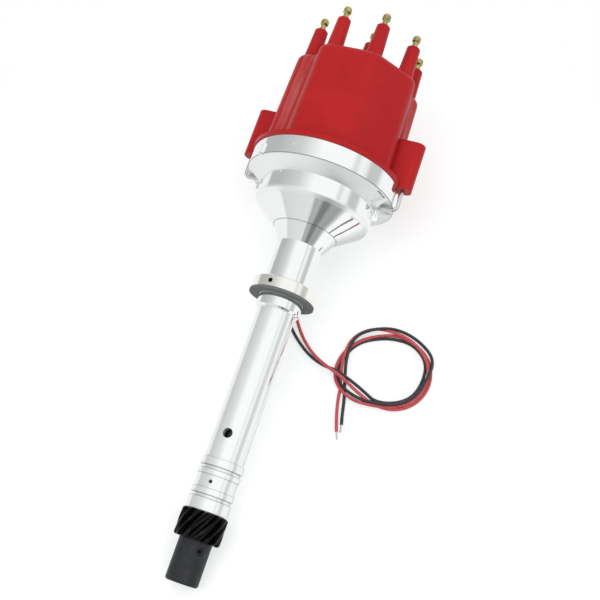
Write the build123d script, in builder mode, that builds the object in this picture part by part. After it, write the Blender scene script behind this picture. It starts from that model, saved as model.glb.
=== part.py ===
"""Ignition distributor for a V8 engine, with a slip collar, mechanical advance and a male-tower cap.

Every piece is drawn upright in shaft coordinates: Z runs up the shaft towards the cap, and z = 0 is the
underside of the gasket under the slip collar, where the distributor seats on the engine. LYING then lays
the whole distributor on a bench, resting on its gear and on the edge of its bowl, with +X towards the cap
and +Z up off the bench.
Angles are degrees about the shaft from the side that faces the bench. Lengths are millimetres.
"""

import os
from math import atan2, cos, degrees, hypot, pi, radians, sin, tan

from build123d import *

# ---- clearances -------------------------------------------------------------------------------------------
RUNNING_FIT = 0.04  # radial, shaft in bushing or bearing
SLIDE_FIT = 0.3  # radial, collar and gasket on the neck
SEAT_GAP = 0.3  # between pieces that rest near each other
LOOSE_GAP = 0.4  # between pieces that pass each other

# ---- shaft ------------------------------------------------------------------------------------------------
SHAFT_R = 6.35
JOURNAL_R = 6.0
SHAFT_BOTTOM = -204.0
OIL_SLOT_WIDTH = 5.2
OIL_SLOT_DEPTH = 9.0

# ---- drive gear -------------------------------------------------------------------------------------------
GEAR_TEETH = 13
GEAR_TIP_R = 16.1
GEAR_ROOT_R = 12.6
GEAR_BOTTOM = -175.0
GEAR_TOP = -156.0
GEAR_HELIX = 33.0
GEAR_TIP_WIDTH = 1.9
GEAR_ROOT_WIDTH = 4.4
GEAR_EDGE_CHAMFER = 1.0
GEAR_SECTIONS = 5
GEAR_OVERCUT = 1.0
HUB_R = 11.4
HUB_CORNER = 2.0
ROLL_PIN_R = 2.38
ROLL_PIN_BORE_R = 1.3
ROLL_PIN_HEIGHT = 22.8  # above the end of the shaft
ROLL_PIN_ANGLE = 213.0

# ---- housing: the long lower barrel -----------------------------------------------------------------------
THRUST_WASHER = 0.5
THRUST_WASHER_R = 12.2
LAND_R = 14.9
LAND_TOP = -120.5
RING_GROOVE_R = 13.6
RING_GROOVE_WIDTH = 2.3
LOWER_RING_GROOVE = -147.5
UPPER_RING_GROOVE = -128.3
OIL_BAND_R = 14.2
OIL_BAND_BOTTOM = -141.0
OIL_BAND_WIDTH = 9.0
OIL_HOLE_R = 1.3
OIL_HOLE_ANGLE = 171.0
TUBE_R = 13.8
TUBE_HOLE_R = 3.4
TUBE_HOLE_Z = -102.5
TUBE_HOLE_ANGLE = 170.0
BORE_RELIEF_R = 8.8
BUSHING_R = 8.0
BUSHING_LENGTH = 32.0

# ---- housing: the neck and the bowl -----------------------------------------------------------------------
NECK_R = 16.5
PILOT_BOTTOM = -9.5
PILOT_CHAMFER = 1.2
PILOT_R = 16.3
NECK_TOP = 41.5
LOWER_CONE_R = 23.7
LOWER_CONE_TOP = 53.6
CONE_STEP = 0.5
UPPER_CONE_R = 40.0
UPPER_CONE_TOP = 66.0
BOWL_R = 43.0
RIM_TOP = 70.5
FLARE_BOTTOM = 82.4
FLARE_TOP = 88.8
FLARE_THICKNESS = 4.5  # measured up the shaft
SHOULDER_R = 6.0  # of the rounding between the upper cone and the bowl
RING_R = 56.0
RING_TOP = 103.0
BOWL_WALL = 4.0
BOWL_FLOOR = 67.5
BOWL_FLOOR_STEP = 2.0  # how far the bowl narrows inside towards its floor
RING_WALL = 5.0
NOTCH_ANGLE = 238.0
NOTCH_WIDTH = 11.0
NOTCH_DEPTH = 1.5
NOTCH_LENGTH = 11.0
CAP_KEY_ANGLE = 129.0
CAP_KEY_WIDTH = 3.0
CAP_KEY_DEPTH = 1.2
CAP_KEY_HEIGHT = 9.0
CAP_KEY_DROP = 0.8  # below the lower edge of the ring
MARK_R = 1.0
MARK_DEPTH = 0.6
FLARE_MARK_ANGLE = 189.0
RING_MARK_ANGLE = 158.0

# ---- ball bearing under the bowl --------------------------------------------------------------------------
BEARING_R = 14.0
BEARING_WIDTH = 8.0
BEARING_RACE = 2.4
BEARING_RECESS = 3.5
RETAINING_RING = 1.2
CAGE_MARGIN = 0.8
SHIM_R = 8.0

# ---- slip collar ------------------------------------------------------------------------------------------
COLLAR_R = 23.1
COLLAR_HEIGHT = 9.2
COLLAR_CHAMFER = 0.6
GASKET_R = 24.0
GASKET_THICKNESS = 1.6
SET_SCREW_R = 1.7
SET_SCREW_ANGLE = 157.0
SET_SCREW_RECESS = 2.2
SET_SCREW_SOCKET_R = 0.9

# ---- pickup and ignition module ---------------------------------------------------------------------------
BASE_PLATE_THICKNESS = 2.0
BASE_PLATE_BORE_R = 13.0
BASE_PLATE_MARGIN = 0.6
MODULE_INNER_R = 23.0
MODULE_CLEARANCE = 3.5  # from the wall of the bowl
MODULE_HEIGHT = 13.0
MODULE_ARC = 130.0
MODULE_SCREW_ARC = 104.0
MODULE_ANGLE = 180.0
MODULE_SCREW_R = 1.5
MODULE_SCREW_HEAD_R = 2.8
MODULE_SCREW_HEAD = 1.8
PICKUP_ANGLE = 300.0
PICKUP_LENGTH = 12.0
PICKUP_WIDTH = 10.0
TRIGGER_R = 19.0
TRIGGER_ROOT_R = 14.5
TRIGGER_HEIGHT = 10.0
TRIGGER_Z = 75.0
TRIGGER_TOOTH_WIDTH = 4.0

# ---- centrifugal advance ----------------------------------------------------------------------------------
SLEEVE_R = 8.5
SLEEVE_LENGTH = 25.0
WEIGHT_PLATE_R = 27.0
WEIGHT_PLATE_THICKNESS = 2.0
POST_CIRCLE_R = 17.5
POST_R = 2.2
POST_SCREW_R = 1.2
POST_SCREW_DEPTH = 5.0
WEIGHT_THICKNESS = 3.2
WEIGHT_OUTER_R = 25.0
WEIGHT_INNER_R = 12.6
WEIGHT_HEEL_ANGLE = -18.0
WEIGHT_TOE_ANGLE = 138.0
CAM_LONG_R = 10.4
CAM_SHORT_R = 7.6
SPRING_PIN_R = 0.9
SPRING_PIN_CIRCLE_R = 8.6
SPRING_PIN_ANGLE = 75.0
SPRING_R = 1.3
SPRING_BORE_R = 0.8
SPRING_PIN_GAP = 2.4

# ---- rotor ------------------------------------------------------------------------------------------------
ROTOR_BASE_R = 27.0
ROTOR_BASE = 3.0
ROTOR_FOOT_R = 13.5
ROTOR_HEAD_R = 9.0
ROTOR_HEAD_Z = 131.0
ROTOR_ARM_WIDTH = 12.0
ROTOR_ARM_LENGTH = 30.0
ROTOR_ARM_HEIGHT = 6.0
ROTOR_ANGLE = 126.0
BLADE_WIDTH = 8.0
BLADE_THICKNESS = 1.5
BLADE_TIP_R = 36.2
BLADE_TAIL = 5.0
ROTOR_SCREW_HEAD_R = 3.2
ROTOR_SCREW_HEAD = 2.0

# ---- cap --------------------------------------------------------------------------------------------------
CYLINDERS = 8
TOWER_PHASE = 103.5
TOWER_CIRCLE_R = 39.5
TOWER_BASE_R = 6.3
TOWER_TOP_R = 5.1
TOWER_CHAMFER = 0.8
TOWER_TOP = 211.0
COIL_TOWER_RISE = 5.4
CAP_LIP_R = 57.0
CAP_LIP_HEIGHT = 8.5
CAP_LIP_EDGE = 3.2
CAP_CORE_R = 43.6
CAP_DRAFT = 2.2  # drawn in by the top of the cap body
CAP_TOP = 185.5
CAP_CORNER = 5.0
CAP_CORNER_STEPS = 4
CAP_INNER_BOTTOM_R = 40.6
CAP_INNER_TOP_R = 38.8
CAP_CEILING = 158.0
LOBE_CIRCLE_R = 38.0
LOBE_R = 13.2
EAR_ARM = 16.0  # of the web between the ear and the cap body
EAR_R = 6.5
EAR_HEIGHT = 37.5
BUTTON_BOSS_R = 6.5
BUTTON_BOSS_LENGTH = 12.0
BUTTON_R = 2.4
BUTTON_LENGTH = 9.0
BUTTON_SPRING_LENGTH = 6.0

# ---- terminals --------------------------------------------------------------------------------------------
ELECTRODE_R = 2.0
ELECTRODE_END = 131.0
TERMINAL_BASE_R = 2.8
TERMINAL_BASE = 1.6
TERMINAL_NECK_R = 2.1
TERMINAL_NECK = 3.0
TERMINAL_SLOPE = 1.2
TERMINAL_HEAD_R = 3.2
TERMINAL_BAND = 2.2
TERMINAL_DOME = 2.9

# ---- cap latches ------------------------------------------------------------------------------------------
LATCH_R = 1.5
LATCH_STANDOFF = 3.0  # of the rod from the ring of the housing
LATCH_TIP_GAP = 3.0  # of the tip of the rod from the bowl
LATCH_LEDGE = 0.3  # of the ring left under the roof of the latch pocket
LATCH_BEND_R = 4.0
LATCH_TRAVEL = 2.5
LATCH_HEAD_R = 4.3
LATCH_HEAD = 3.0
LATCH_SLOT = 1.2
LATCH_WASHER = 1.0
LATCH_SPRING_R = 3.7
LATCH_SPRING_WIRE = 1.0
LATCH_WELL_R = 4.9
LATCH_WELL_DEPTH = 16.5
LUG_WIDTH = 9.0
LUG_DEPTH = 4.2
LUG_HEIGHT = 5.0
LUG_CORNER = 2.5

# ---- leads ------------------------------------------------------------------------------------------------
LEAD_R = 1.2
LEAD_CORE_R = 0.7
LEAD_PITCH = 2.6  # between the two leads where they come out
GROMMET_ANGLE = 2.5
GROMMET_R = 4.2
GROMMET_BORE_R = 2.6
GROMMET_FLANGE_R = 6.0
GROMMET_FLANGE = 1.4
COIL_CENTRE = (-10.2, -84.2)
COIL_MEAN_R = 31.2
COIL_HALF_WIDTH = 6.4
COIL_HEIGHT = 7.2

# ---- places that follow from the sizes --------------------------------------------------------------------
HOUSING_BOTTOM = GEAR_TOP + THRUST_WASHER
OIL_BAND_TOP = OIL_BAND_BOTTOM + OIL_BAND_WIDTH
ROLL_PIN_Z = SHAFT_BOTTOM + ROLL_PIN_HEIGHT
BEARING_TOP = BOWL_FLOOR - BEARING_RECESS
BEARING_BOTTOM = BEARING_TOP - BEARING_WIDTH
JOURNAL_BOTTOM = BEARING_BOTTOM - SEAT_GAP
BASE_PLATE_TOP = BOWL_FLOOR + BASE_PLATE_THICKNESS
BOWL_INNER_R = BOWL_R - BOWL_WALL
BOWL_FLOOR_R = BOWL_INNER_R - BOWL_FLOOR_STEP
BASE_PLATE_R = BOWL_FLOOR_R - BASE_PLATE_MARGIN
MODULE_OUTER_R = BOWL_INNER_R - MODULE_CLEARANCE
MODULE_TOP = BASE_PLATE_TOP + MODULE_HEIGHT
SLEEVE_BOTTOM = BASE_PLATE_TOP + SEAT_GAP
WEIGHT_PLATE_Z = SLEEVE_BOTTOM + SLEEVE_LENGTH
WEIGHT_Z = WEIGHT_PLATE_Z + WEIGHT_PLATE_THICKNESS + SEAT_GAP
WEIGHT_TOP = WEIGHT_Z + WEIGHT_THICKNESS
SHAFT_TOP = WEIGHT_TOP
SPRING_Z = WEIGHT_TOP + SEAT_GAP + SPRING_R
ROTOR_BOTTOM = SPRING_Z + SPRING_R + SEAT_GAP
BLADE_Z = ROTOR_HEAD_Z + ROTOR_ARM_HEIGHT
BUTTON_BOTTOM = BLADE_Z + BLADE_THICKNESS + SEAT_GAP
BUTTON_TOP = BUTTON_BOTTOM + BUTTON_LENGTH
CAP_LIP_TOP = RING_TOP + CAP_LIP_HEIGHT
EAR_BOTTOM = RING_TOP + SEAT_GAP
EAR_TOP = EAR_BOTTOM + EAR_HEIGHT
EAR_PHASE = TOWER_PHASE - 180 / CYLINDERS
SET_SCREW_Z = GASKET_THICKNESS + COLLAR_HEIGHT / 2
EAR_CIRCLE_R = RING_R + LATCH_STANDOFF
LATCH_LEG_LENGTH = EAR_CIRCLE_R - BOWL_R - LATCH_TIP_GAP
LATCH_SWING_R = hypot(LATCH_LEG_LENGTH, LATCH_R) + LOOSE_GAP
LATCH_POCKET_TOP = FLARE_TOP - LATCH_LEDGE
LATCH_LEG_Z = LATCH_POCKET_TOP - SEAT_GAP - LATCH_R
LATCH_HEAD_TOP = EAR_TOP
LATCH_WASHER_TOP = LATCH_HEAD_TOP - LATCH_HEAD - SEAT_GAP
LATCH_WELL_FLOOR = EAR_TOP - LATCH_WELL_DEPTH
LUG_TOP = LATCH_LEG_Z - LATCH_R - LATCH_TRAVEL - LOOSE_GAP
COIL_TOWER_TOP = TOWER_TOP + COIL_TOWER_RISE
TERMINAL_HEIGHT = TERMINAL_BASE + TERMINAL_NECK + TERMINAL_SLOPE + TERMINAL_BAND + TERMINAL_DOME

# ---- how the distributor lies -----------------------------------------------------------------------------
LEAN = degrees(atan2(RING_R - GEAR_TIP_R, FLARE_TOP - GEAR_BOTTOM))
BENCH = (GEAR_TIP_R - GEAR_BOTTOM * tan(radians(LEAN))) * cos(radians(LEAN))
LYING = Location((0, 0, 0), (0, 90 - LEAN, 0))


def save(shape, name):
    """Label a piece that lies in its place and write its STEP file."""
    shape.label = name
    export_step(shape, f"parts/{name}.step")


def lay(piece, name):
    """Lay a piece drawn upright on the bench, and save it."""
    save(piece.part.moved(LYING), name)


def add_ring(outer, inner, bottom, top):
    """Add a plain ring round the shaft axis to the part being built."""
    with BuildSketch(Plane.XY.offset(bottom)) as ring:
        Circle(outer)
        Circle(inner, mode=Mode.SUBTRACT)
    extrude(ring.sketch, amount=top - bottom)


def facing_plane(angle, radius, z):
    """A plane at a point round the shaft, facing away from it, with its own Y up the shaft."""
    away = Vector(cos(radians(angle)), sin(radians(angle)), 0)
    return Plane(origin=away * radius + Vector(0, 0, z), x_dir=Vector(-away.Y, away.X, 0), z_dir=away)


def level_plane(angle, radius, z):
    """A plane across the shaft at a point round it, with its own X pointing away from the shaft."""
    away = Vector(cos(radians(angle)), sin(radians(angle)), 0)
    return Plane(origin=away * radius + Vector(0, 0, z), x_dir=away, z_dir=(0, 0, 1))


def radial_section(angle):
    """The half plane through the shaft axis at an angle, with X away from the shaft and Y up it."""
    away = Vector(cos(radians(angle)), sin(radians(angle)), 0)
    return Plane(origin=(0, 0, 0), x_dir=away, z_dir=Vector(away.Y, -away.X, 0))


def cone_plane(angle, lower_r, lower_z, upper_r, upper_z):
    """The plane that touches a cone of the housing halfway up its slope, facing away from it."""
    run = upper_r - lower_r
    rise = upper_z - lower_z
    away = Vector(cos(radians(angle)), sin(radians(angle)), 0)
    normal = away * (rise / hypot(run, rise)) + Vector(0, 0, -run / hypot(run, rise))
    middle = away * (lower_r + run / 2) + Vector(0, 0, lower_z + rise / 2)
    return Plane(origin=middle, x_dir=Vector(-away.Y, away.X, 0), z_dir=normal)


def module_screw_places():
    """The places of the two screws that hold the module."""
    return PolarLocations(
        (MODULE_INNER_R + MODULE_OUTER_R) / 2,
        2,
        start_angle=MODULE_ANGLE - MODULE_SCREW_ARC / 2,
        angular_range=MODULE_SCREW_ARC,
        endpoint=True,
    )


def post_places():
    """The places of the two posts that carry the advance weights and the rotor."""
    return PolarLocations(POST_CIRCLE_R, 2, start_angle=ROTOR_ANGLE)


def tower_places():
    """The places of the towers round the cap."""
    return PolarLocations(TOWER_CIRCLE_R, CYLINDERS, start_angle=TOWER_PHASE)


GROMMET = cone_plane(GROMMET_ANGLE, LOWER_CONE_R + CONE_STEP, LOWER_CONE_TOP, UPPER_CONE_R, UPPER_CONE_TOP)
os.makedirs("parts", exist_ok=True)

# ---- housing ----------------------------------------------------------------------------------------------
with BuildPart() as housing:
    with BuildSketch(Plane.XZ):
        with BuildLine():
            Polyline(
                (BUSHING_R, HOUSING_BOTTOM),
                (LAND_R, HOUSING_BOTTOM),
                (LAND_R, LOWER_RING_GROOVE),
                (RING_GROOVE_R, LOWER_RING_GROOVE),
                (RING_GROOVE_R, LOWER_RING_GROOVE + RING_GROOVE_WIDTH),
                (LAND_R, LOWER_RING_GROOVE + RING_GROOVE_WIDTH),
                (LAND_R, OIL_BAND_BOTTOM),
                (OIL_BAND_R, OIL_BAND_BOTTOM),
                (OIL_BAND_R, OIL_BAND_TOP),
                (LAND_R, OIL_BAND_TOP),
                (LAND_R, UPPER_RING_GROOVE),
                (RING_GROOVE_R, UPPER_RING_GROOVE),
                (RING_GROOVE_R, UPPER_RING_GROOVE + RING_GROOVE_WIDTH),
                (LAND_R, UPPER_RING_GROOVE + RING_GROOVE_WIDTH),
                (LAND_R, LAND_TOP),
                (TUBE_R, LAND_TOP),
                (TUBE_R, PILOT_BOTTOM),
                (PILOT_R - PILOT_CHAMFER, PILOT_BOTTOM),
                (PILOT_R, PILOT_BOTTOM + PILOT_CHAMFER),
                (PILOT_R, 0),
                (NECK_R, 0),
                (NECK_R, NECK_TOP),
                (LOWER_CONE_R, LOWER_CONE_TOP),
                (LOWER_CONE_R + CONE_STEP, LOWER_CONE_TOP),
                (UPPER_CONE_R, UPPER_CONE_TOP),
            )
            RadiusArc((UPPER_CONE_R, UPPER_CONE_TOP), (BOWL_R, RIM_TOP), -SHOULDER_R)
            Polyline(
                (BOWL_R, RIM_TOP),
                (BOWL_R, FLARE_BOTTOM),
                (RING_R, FLARE_TOP),
                (RING_R, RING_TOP),
                (RING_R - RING_WALL, RING_TOP),
                (RING_R - RING_WALL, FLARE_TOP + FLARE_THICKNESS),
                (BOWL_INNER_R, FLARE_BOTTOM + FLARE_THICKNESS),
                (BOWL_INNER_R, RIM_TOP),
                (BOWL_FLOOR_R, BOWL_FLOOR),
                (BEARING_R, BOWL_FLOOR),
                (BEARING_R, BEARING_BOTTOM),
                (BORE_RELIEF_R, BEARING_BOTTOM),
                (BORE_RELIEF_R, HOUSING_BOTTOM + BUSHING_LENGTH),
                (BUSHING_R, HOUSING_BOTTOM + BUSHING_LENGTH),
                (BUSHING_R, HOUSING_BOTTOM),
            )
        make_face()
    revolve(axis=Axis.Z)
    with BuildSketch(facing_plane(TUBE_HOLE_ANGLE, 0, TUBE_HOLE_Z)):
        Circle(TUBE_HOLE_R)
    extrude(amount=LAND_R, mode=Mode.SUBTRACT)
    with BuildSketch(facing_plane(OIL_HOLE_ANGLE, 0, (OIL_BAND_BOTTOM + OIL_BAND_TOP) / 2)):
        Circle(OIL_HOLE_R)
    extrude(amount=LAND_R, mode=Mode.SUBTRACT)
    with BuildSketch(cone_plane(NOTCH_ANGLE, BOWL_R, FLARE_BOTTOM, RING_R, FLARE_TOP)):
        Rectangle(NOTCH_WIDTH, NOTCH_LENGTH)
    extrude(amount=NOTCH_DEPTH, both=True, mode=Mode.SUBTRACT)
    with BuildSketch(cone_plane(FLARE_MARK_ANGLE, BOWL_R, FLARE_BOTTOM, RING_R, FLARE_TOP)):
        Circle(MARK_R)
    extrude(amount=MARK_DEPTH, both=True, mode=Mode.SUBTRACT)
    with BuildSketch(facing_plane(RING_MARK_ANGLE, RING_R, (FLARE_TOP + RING_TOP) / 2)):
        Circle(MARK_R)
    extrude(amount=MARK_DEPTH, both=True, mode=Mode.SUBTRACT)
    with BuildSketch(facing_plane(CAP_KEY_ANGLE, RING_R - RING_WALL / 2, FLARE_TOP - CAP_KEY_DROP)):
        Rectangle(CAP_KEY_WIDTH, CAP_KEY_HEIGHT, align=(Align.CENTER, Align.MIN))
    extrude(amount=RING_WALL / 2 + CAP_KEY_DEPTH)
    for side in (0, 180):
        with BuildSketch(level_plane(EAR_PHASE + side, EAR_CIRCLE_R, LUG_TOP)):
            Circle(LATCH_SWING_R)
        extrude(amount=LATCH_POCKET_TOP - LUG_TOP, mode=Mode.SUBTRACT)
        with BuildSketch(level_plane(EAR_PHASE + side, BOWL_R - BOWL_WALL / 2, LUG_TOP - LUG_HEIGHT)):
            RectangleRounded(BOWL_WALL / 2 + LUG_DEPTH, LUG_WIDTH, LUG_CORNER, align=(Align.MIN, Align.CENTER))
        extrude(amount=LUG_HEIGHT)
    with BuildSketch(GROMMET):
        Circle(GROMMET_R)
    extrude(amount=-BOWL_FLOOR / 4, mode=Mode.SUBTRACT)
lay(housing, "housing")

with BuildPart() as lower_bushing:
    add_ring(BUSHING_R, SHAFT_R + RUNNING_FIT, HOUSING_BOTTOM, HOUSING_BOTTOM + BUSHING_LENGTH)
lay(lower_bushing, "lower_bushing")

# ---- ball bearing -----------------------------------------------------------------------------------------
with BuildPart() as bearing_outer_race:
    add_ring(BEARING_R, BEARING_R - BEARING_RACE, BEARING_BOTTOM, BEARING_TOP)
lay(bearing_outer_race, "bearing_outer_race")

with BuildPart() as bearing_inner_race:
    add_ring(JOURNAL_R + BEARING_RACE, JOURNAL_R, BEARING_BOTTOM, BEARING_TOP)
lay(bearing_inner_race, "bearing_inner_race")

with BuildPart() as bearing_cage:
    add_ring(
        BEARING_R - BEARING_RACE - SEAT_GAP,
        JOURNAL_R + BEARING_RACE + SEAT_GAP,
        BEARING_BOTTOM + CAGE_MARGIN,
        BEARING_TOP - CAGE_MARGIN,
    )
lay(bearing_cage, "bearing_cage")

with BuildPart() as retaining_ring:
    add_ring(BEARING_R, BEARING_R - BEARING_RACE, BEARING_TOP, BEARING_TOP + RETAINING_RING)
lay(retaining_ring, "retaining_ring")

# ---- shaft, gear and what turns with them -----------------------------------------------------------------
with BuildPart() as main_shaft:
    with BuildSketch(Plane.XY.offset(SHAFT_BOTTOM)):
        Circle(SHAFT_R)
    extrude(amount=JOURNAL_BOTTOM - SHAFT_BOTTOM)
    with BuildSketch(Plane.XY.offset(JOURNAL_BOTTOM)):
        Circle(JOURNAL_R)
    extrude(amount=SHAFT_TOP - JOURNAL_BOTTOM)
    with BuildSketch(Plane.XY.offset(SHAFT_BOTTOM)):
        Rectangle(2 * SHAFT_R, OIL_SLOT_WIDTH)
    extrude(amount=OIL_SLOT_DEPTH, mode=Mode.SUBTRACT)
    with BuildSketch(facing_plane(ROLL_PIN_ANGLE, 0, ROLL_PIN_Z)):
        Circle(ROLL_PIN_R)
    extrude(amount=2 * SHAFT_R, both=True, mode=Mode.SUBTRACT)
lay(main_shaft, "main_shaft")

GEAR_HEIGHT = GEAR_TOP - GEAR_BOTTOM
GEAR_PITCH_R = (GEAR_TIP_R + GEAR_ROOT_R) / 2
GEAR_TWIST = degrees(tan(radians(GEAR_HELIX)) / GEAR_PITCH_R)  # per millimetre up the gear
GAP_ROOT_WIDTH = 2 * pi * GEAR_ROOT_R / GEAR_TEETH - GEAR_ROOT_WIDTH
GAP_TIP_WIDTH = 2 * pi * GEAR_TIP_R / GEAR_TEETH - GEAR_TIP_WIDTH

with BuildPart() as tooth_gap:
    for step in range(GEAR_SECTIONS + 1):
        rise = (step / GEAR_SECTIONS) * (GEAR_HEIGHT + 2 * GEAR_OVERCUT) - GEAR_OVERCUT
        with BuildSketch(level_plane(GEAR_TWIST * rise, 0, GEAR_BOTTOM + rise)):
            with BuildLine():
                Polyline(
                    (GEAR_ROOT_R, -GAP_ROOT_WIDTH / 2),
                    (2 * GEAR_TIP_R - GEAR_ROOT_R, GAP_ROOT_WIDTH / 2 - GAP_TIP_WIDTH),
                    (2 * GEAR_TIP_R - GEAR_ROOT_R, GAP_TIP_WIDTH - GAP_ROOT_WIDTH / 2),
                    (GEAR_ROOT_R, GAP_ROOT_WIDTH / 2),
                    close=True,
                )
            make_face()
    loft(ruled=True)

with BuildPart() as drive_gear:
    with BuildSketch(Plane.XZ):
        with BuildLine():
            Polyline((0, SHAFT_BOTTOM), (HUB_R - HUB_CORNER, SHAFT_BOTTOM))
            RadiusArc((HUB_R - HUB_CORNER, SHAFT_BOTTOM), (HUB_R, SHAFT_BOTTOM + HUB_CORNER), -HUB_CORNER)
            Polyline(
                (HUB_R, SHAFT_BOTTOM + HUB_CORNER),
                (HUB_R, GEAR_BOTTOM),
                (GEAR_TIP_R - GEAR_EDGE_CHAMFER, GEAR_BOTTOM),
                (GEAR_TIP_R, GEAR_BOTTOM + GEAR_EDGE_CHAMFER),
                (GEAR_TIP_R, GEAR_TOP - GEAR_EDGE_CHAMFER),
                (GEAR_TIP_R - GEAR_EDGE_CHAMFER, GEAR_TOP),
                (0, GEAR_TOP),
                (0, SHAFT_BOTTOM),
            )
        make_face()
    revolve(axis=Axis.Z)
    with PolarLocations(0, GEAR_TEETH):
        add(tooth_gap.part, mode=Mode.SUBTRACT)
    with BuildSketch(Plane.XY.offset(SHAFT_BOTTOM)):
        Circle(SHAFT_R)
    extrude(amount=GEAR_TOP - SHAFT_BOTTOM, mode=Mode.SUBTRACT)
    with BuildSketch(facing_plane(ROLL_PIN_ANGLE, 0, ROLL_PIN_Z)):
        Circle(ROLL_PIN_R)
    extrude(amount=2 * HUB_R, both=True, mode=Mode.SUBTRACT)
lay(drive_gear, "drive_gear")

with BuildPart() as roll_pin:
    with BuildSketch(facing_plane(ROLL_PIN_ANGLE, 0, ROLL_PIN_Z)):
        Circle(ROLL_PIN_R)
        Circle(ROLL_PIN_BORE_R, mode=Mode.SUBTRACT)
    extrude(amount=HUB_R - SEAT_GAP, both=True)
lay(roll_pin, "roll_pin")

with BuildPart() as thrust_washer:
    add_ring(THRUST_WASHER_R, SHAFT_R + RUNNING_FIT, GEAR_TOP, HOUSING_BOTTOM)
lay(thrust_washer, "thrust_washer")

with BuildPart() as shaft_shim:
    add_ring(SHIM_R, JOURNAL_R, BEARING_TOP, SLEEVE_BOTTOM - SEAT_GAP)
lay(shaft_shim, "shaft_shim")

with BuildPart() as centre_cam:
    with BuildSketch(Plane.XY.offset(WEIGHT_Z)):
        Ellipse(CAM_LONG_R, CAM_SHORT_R, rotation=ROTOR_ANGLE + SPRING_PIN_ANGLE)
        Circle(JOURNAL_R, mode=Mode.SUBTRACT)
    extrude(amount=SHAFT_TOP - WEIGHT_Z)
    with BuildSketch(Plane.XY.offset(WEIGHT_Z)):
        with PolarLocations(SPRING_PIN_CIRCLE_R, 2, start_angle=ROTOR_ANGLE + SPRING_PIN_ANGLE):
            Circle(SPRING_PIN_R)
    extrude(amount=SPRING_Z + SPRING_R - WEIGHT_Z)
lay(centre_cam, "centre_cam")

# ---- slip collar ------------------------------------------------------------------------------------------
with BuildPart() as slip_collar:
    add_ring(COLLAR_R, NECK_R + SLIDE_FIT, GASKET_THICKNESS, GASKET_THICKNESS + COLLAR_HEIGHT)
    chamfer(slip_collar.edges().filter_by(GeomType.CIRCLE).group_by(SortBy.RADIUS)[-1], COLLAR_CHAMFER)
    with BuildSketch(facing_plane(SET_SCREW_ANGLE, 0, SET_SCREW_Z)):
        Circle(SET_SCREW_R)
    extrude(amount=2 * COLLAR_R, mode=Mode.SUBTRACT)
lay(slip_collar, "slip_collar")

with BuildPart() as collar_set_screw:
    with BuildSketch(facing_plane(SET_SCREW_ANGLE, NECK_R + SLIDE_FIT, SET_SCREW_Z)):
        Circle(SET_SCREW_R)
    extrude(amount=COLLAR_R - SET_SCREW_RECESS - NECK_R - SLIDE_FIT)
    with BuildSketch(facing_plane(SET_SCREW_ANGLE, COLLAR_R - SET_SCREW_RECESS, SET_SCREW_Z)):
        RegularPolygon(SET_SCREW_SOCKET_R, 6)
    extrude(amount=-SET_SCREW_RECESS, mode=Mode.SUBTRACT)
lay(collar_set_screw, "collar_set_screw")

with BuildPart() as collar_gasket:
    add_ring(GASKET_R, NECK_R + SLIDE_FIT, 0, GASKET_THICKNESS)
lay(collar_gasket, "collar_gasket")

# ---- plate, module and pickup in the bowl -----------------------------------------------------------------
with BuildPart() as base_plate:
    add_ring(BASE_PLATE_R, BASE_PLATE_BORE_R, BOWL_FLOOR, BASE_PLATE_TOP)
    with BuildSketch(GROMMET):
        Circle(GROMMET_R)
    extrude(amount=-BOWL_FLOOR / 4, mode=Mode.SUBTRACT)
lay(base_plate, "base_plate")

with BuildPart() as ignition_module:
    with BuildSketch(Plane.XY.offset(BASE_PLATE_TOP)):
        with BuildLine():
            outer_edge = CenterArc((0, 0), MODULE_OUTER_R, MODULE_ANGLE - MODULE_ARC / 2, MODULE_ARC)
            inner_edge = CenterArc((0, 0), MODULE_INNER_R, MODULE_ANGLE - MODULE_ARC / 2, MODULE_ARC)
            Line(inner_edge @ 0, outer_edge @ 0)
            Line(inner_edge @ 1, outer_edge @ 1)
        make_face()
    extrude(amount=MODULE_HEIGHT)
    with BuildSketch(Plane.XY.offset(MODULE_TOP)):
        with module_screw_places():
            Circle(MODULE_SCREW_R)
    extrude(amount=-MODULE_HEIGHT, mode=Mode.SUBTRACT)
lay(ignition_module, "ignition_module")

with BuildPart() as module_screws:
    with BuildSketch(Plane.XY.offset(BASE_PLATE_TOP)):
        with module_screw_places():
            Circle(MODULE_SCREW_R)
    extrude(amount=MODULE_HEIGHT)
    with BuildSketch(Plane.XY.offset(MODULE_TOP)):
        with module_screw_places():
            Circle(MODULE_SCREW_HEAD_R)
    extrude(amount=MODULE_SCREW_HEAD)
lay(module_screws, "module_screws")

with BuildPart() as pickup_sensor:
    with BuildSketch(level_plane(PICKUP_ANGLE, TRIGGER_R + LOOSE_GAP, BASE_PLATE_TOP)):
        Rectangle(PICKUP_LENGTH, PICKUP_WIDTH, align=(Align.MIN, Align.CENTER))
    extrude(amount=TRIGGER_Z + TRIGGER_HEIGHT - BASE_PLATE_TOP)
lay(pickup_sensor, "pickup_sensor")

# ---- advance mechanism ------------------------------------------------------------------------------------
with BuildPart() as advance_sleeve:
    add_ring(SLEEVE_R, JOURNAL_R + RUNNING_FIT, SLEEVE_BOTTOM, WEIGHT_PLATE_Z)
    add_ring(WEIGHT_PLATE_R, JOURNAL_R + RUNNING_FIT, WEIGHT_PLATE_Z, WEIGHT_PLATE_Z + WEIGHT_PLATE_THICKNESS)
    with BuildSketch(Plane.XY.offset(WEIGHT_PLATE_Z)):
        with post_places():
            Circle(POST_R)
    extrude(amount=ROTOR_BOTTOM - WEIGHT_PLATE_Z)
    with BuildSketch(Plane.XY.offset(ROTOR_BOTTOM)):
        with post_places():
            Circle(POST_SCREW_R)
    extrude(amount=-POST_SCREW_DEPTH, mode=Mode.SUBTRACT)
lay(advance_sleeve, "advance_sleeve")

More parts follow.
